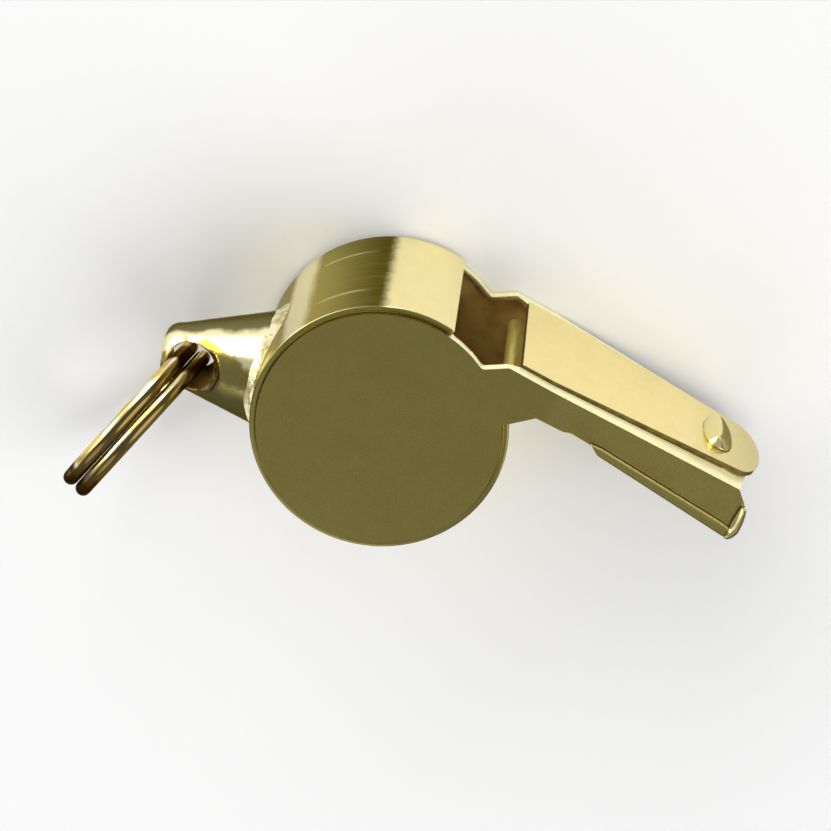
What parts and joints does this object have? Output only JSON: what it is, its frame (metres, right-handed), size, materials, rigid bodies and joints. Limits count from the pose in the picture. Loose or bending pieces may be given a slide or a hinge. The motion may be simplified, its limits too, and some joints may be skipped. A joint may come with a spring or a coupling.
{
  "type": "brass pea whistle",
  "caption": "Brass pea whistle: round lapped barrel with a sound window, tapered mouthpiece with a bite lug, drilled boss with a swinging split ring, and a loose cork pea inside.",
  "frame": {"origin": "barrel axis at the outer face of the back side plate, on which the whistle lies", "axes": "+X towards the mouth end, +Y towards the sound window, +Z across the whistle from the back side plate to the front one"},
  "size_m": [0.0498, 0.0323, 0.0175],
  "materials": {
    "polished_brass": "polished",
    "satin_brass": "satin",
    "brazing_brass": "as flowed",
    "ring_brass": "drawn wire",
    "cork": "cork"
  },
  "bodies": {
    "whistle": {"front_side_plate": "satin_brass", "back_side_plate": "satin_brass", "barrel_band": "polished_brass", "mouthpiece_top_plate": "polished_brass", "bite_lug": "polished_brass", "windway_floor": "polished_brass", "mouthpiece_channel": "satin_brass", "ring_boss": "polished_brass", "boss_solder_fillet": "brazing_brass"},
    "ring": {"split_ring": "ring_brass"},
    "pea": {"cork_pea": "cork"}
  },
  "joints": [
    {"name": "ring_swing", "type": "hinge", "parent": "whistle", "child": "ring", "pos_m": [-0.01513, -0.00551, 0.00875], "axis": [0, 0, 1], "range_deg": [-175, 60]},
    {"name": "pea_orbit", "type": "hinge", "parent": "whistle", "child": "pea", "pos_m": [0, 0, 0.00875], "axis": [0, 0, 1], "continuous": true}
  ]
}
